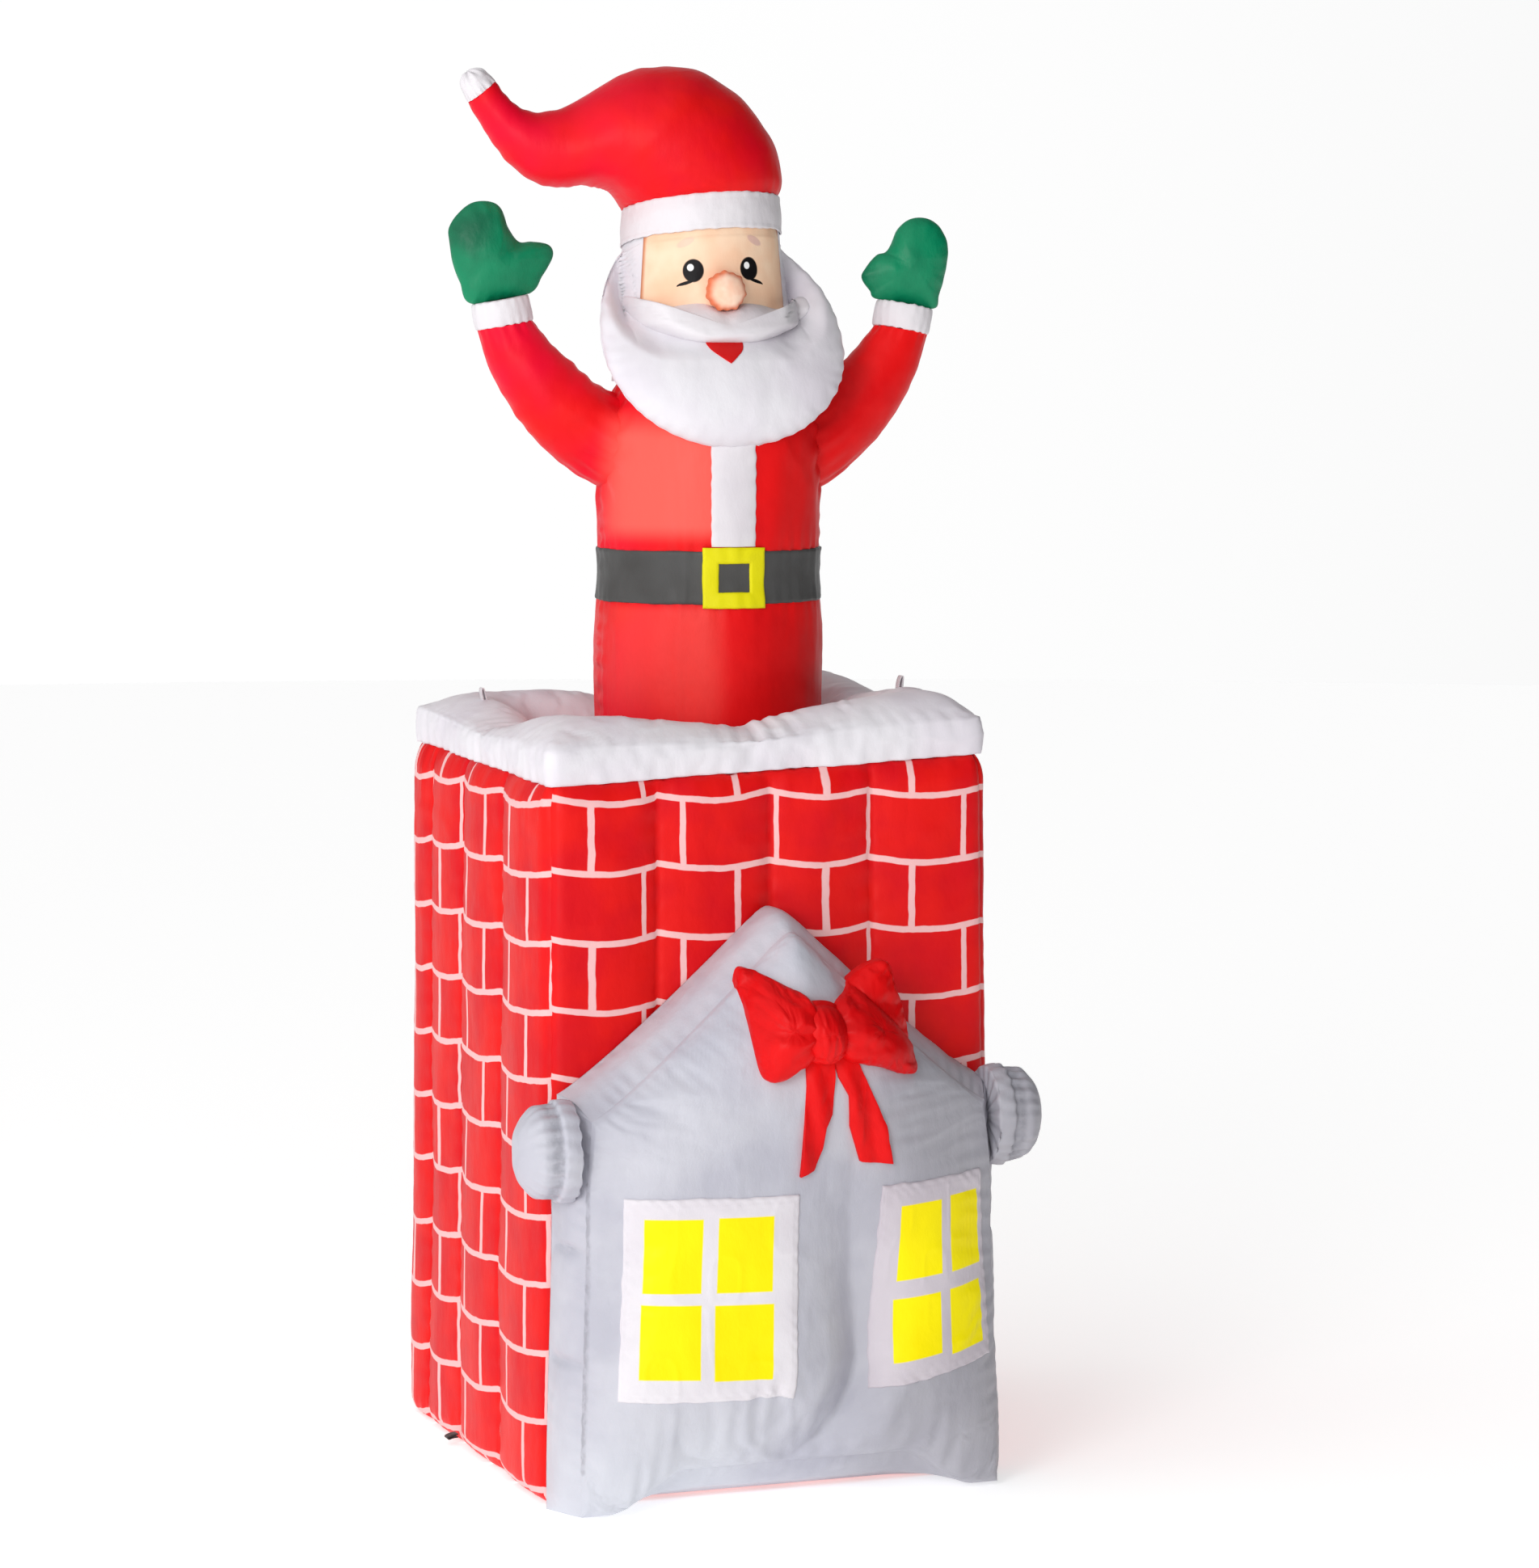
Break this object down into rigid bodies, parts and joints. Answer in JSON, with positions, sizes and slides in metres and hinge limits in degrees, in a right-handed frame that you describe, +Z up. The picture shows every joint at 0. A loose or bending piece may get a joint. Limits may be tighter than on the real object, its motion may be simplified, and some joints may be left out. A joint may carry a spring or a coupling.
{
  "type": "inflatable santa",
  "caption": "Blow-up yard decoration: a waving Santa in a square brick chimney with a snowy rim, a small grey house front with windows and a bow on its front.",
  "frame": {"origin": "centre of the chimney's flat underside, on the ground", "axes": "+Z up, the front with the house towards -Y, the figure's right hand towards -X"},
  "size_m": [0.691, 0.7856, 1.8013],
  "materials": {
    "brick_red": "printed polyester, satin",
    "snow_white": "polyester, satin",
    "suit_red": "polyester, satin",
    "belt_grey": "polyester, satin",
    "buckle_yellow": "polyester, satin",
    "mitten_green": "polyester, satin",
    "skin_peach": "printed polyester, satin",
    "mouth_red": "polyester, satin",
    "house_grey": "polyester, satin",
    "webbing_black": "woven webbing, matt"
  },
  "bodies": {
    "root": {"chimney": "brick_red", "snow_rim": "snow_white", "tether_left": "snow_white", "tether_right": "snow_white", "tie_tab_left": "webbing_black", "tie_tab_right": "webbing_black", "torso": "suit_red", "belt": "belt_grey", "buckle": "buckle_yellow", "placket": "snow_white", "head": "snow_white", "face": "skin_peach", "beard": "snow_white", "moustache": "snow_white", "mouth": "mouth_red", "nose": "skin_peach", "hat": "suit_red", "hat_band": "snow_white", "hat_tip": "snow_white", "arm_left": "suit_red", "arm_right": "suit_red", "cuff_left": "snow_white", "cuff_right": "snow_white", "mitten_left": "mitten_green", "mitten_right": "mitten_green", "house_front": "house_grey", "eave_left": "house_grey", "eave_right": "house_grey", "window_left": "snow_white", "window_right": "snow_white", "bow_loop_left": "suit_red", "bow_loop_right": "suit_red", "bow_knot": "suit_red", "bow_tail_left": "suit_red", "bow_tail_right": "suit_red"}
  },
  "joints": []
}
